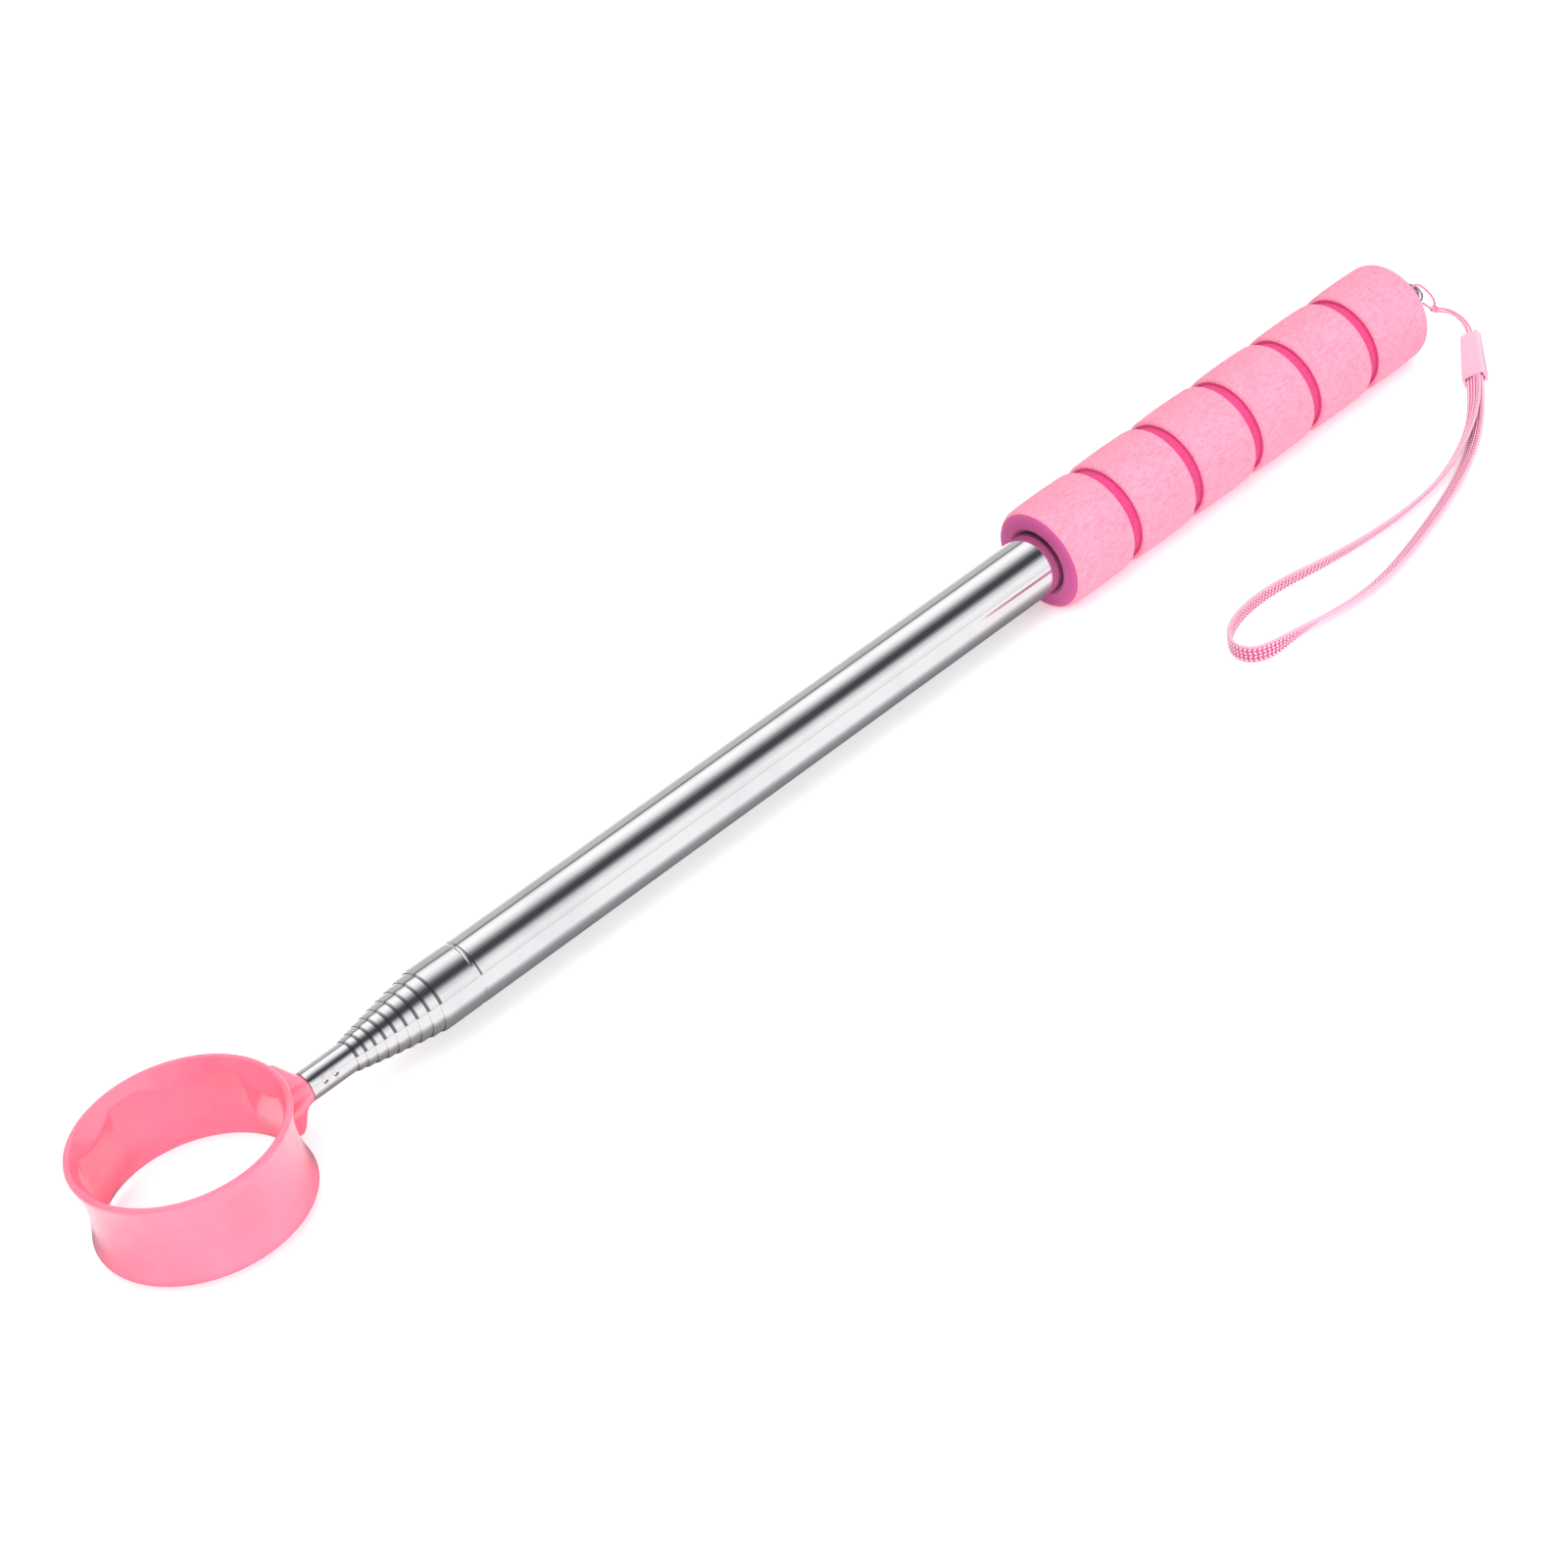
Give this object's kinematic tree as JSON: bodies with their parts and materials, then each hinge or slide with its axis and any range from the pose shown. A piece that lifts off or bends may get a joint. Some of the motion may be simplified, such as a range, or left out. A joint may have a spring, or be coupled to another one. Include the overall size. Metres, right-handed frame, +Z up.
{
  "type": "golf ball retriever",
  "caption": "Telescopic golf ball retriever: nested steel tubes pull out of a grooved foam grip, with a plastic snap ring at the tip and a wrist lanyard on the end eye.",
  "frame": {"origin": "on the floor under the tool's axis, half way along its pushed-in length, at the lowest line of the grip", "axes": "+X along the tool towards the handle, +Z up along the ball ring's axis, +Y to complete the right hand"},
  "size_m": [0.4438, 0.0925, 0.028],
  "materials": {
    "polished_steel": "polished",
    "sleeve_bronze": "satin",
    "pink_moulding": "gloss",
    "grip_foam": "matte",
    "end_plug_steel": "satin",
    "eye_chrome": "polished",
    "lanyard_cord": "matte",
    "ferrule_plastic": "satin",
    "strap_weave": "matte"
  },
  "bodies": {
    "handle": {"tube_1": "polished_steel", "foam_grip": "grip_foam", "end_plug": "end_plug_steel", "lanyard_eye": "eye_chrome", "lanyard_string": "lanyard_cord", "string_knot": "lanyard_cord", "lanyard_ferrule": "ferrule_plastic", "wrist_strap": "strap_weave"},
    "section_2": {"tube_2": "polished_steel", "friction_sleeve_2": "sleeve_bronze"},
    "section_3": {"tube_3": "polished_steel", "friction_sleeve_3": "sleeve_bronze"},
    "section_4": {"tube_4": "polished_steel", "friction_sleeve_4": "sleeve_bronze"},
    "section_5": {"tube_5": "polished_steel", "friction_sleeve_5": "sleeve_bronze"},
    "section_6": {"tube_6": "polished_steel", "friction_sleeve_6": "sleeve_bronze"},
    "section_7": {"tube_7": "polished_steel", "friction_sleeve_7": "sleeve_bronze"},
    "section_8": {"tube_8": "polished_steel", "friction_sleeve_8": "sleeve_bronze"},
    "section_9": {"tube_9": "polished_steel", "friction_sleeve_9": "sleeve_bronze"},
    "tip_sleeve": {"friction_sleeve_10": "sleeve_bronze"},
    "pickup_head": {"tube_10": "polished_steel", "ring_head": "pink_moulding"}
  },
  "joints": [
    {"name": "slide_2", "type": "slide", "parent": "handle", "child": "section_2", "axis": [-1, 0, 0], "range_m": [0, 0.2844]},
    {"name": "slide_3", "type": "slide", "parent": "section_2", "child": "section_3", "axis": [-1, 0, 0], "range_m": [0, 0.2982]},
    {"name": "slide_4", "type": "slide", "parent": "section_3", "child": "section_4", "axis": [-1, 0, 0], "range_m": [0, 0.3012]},
    {"name": "slide_5", "type": "slide", "parent": "section_4", "child": "section_5", "axis": [-1, 0, 0], "range_m": [0, 0.304]},
    {"name": "slide_6", "type": "slide", "parent": "section_5", "child": "section_6", "axis": [-1, 0, 0], "range_m": [0, 0.3068]},
    {"name": "slide_7", "type": "slide", "parent": "section_6", "child": "section_7", "axis": [-1, 0, 0], "range_m": [0, 0.3094]},
    {"name": "slide_8", "type": "slide", "parent": "section_7", "child": "section_8", "axis": [-1, 0, 0], "range_m": [0, 0.3119]},
    {"name": "slide_9", "type": "slide", "parent": "section_8", "child": "section_9", "axis": [-1, 0, 0], "range_m": [0, 0.3143]},
    {"name": "slide_10", "type": "slide", "parent": "section_9", "child": "tip_sleeve", "axis": [-1, 0, 0], "range_m": [0, 0.3165]},
    {"name": "head_turn", "type": "hinge", "parent": "tip_sleeve", "child": "pickup_head", "pos_m": [-0.16087, 0, 0.014], "axis": [1, 0, 0], "continuous": true}
  ]
}
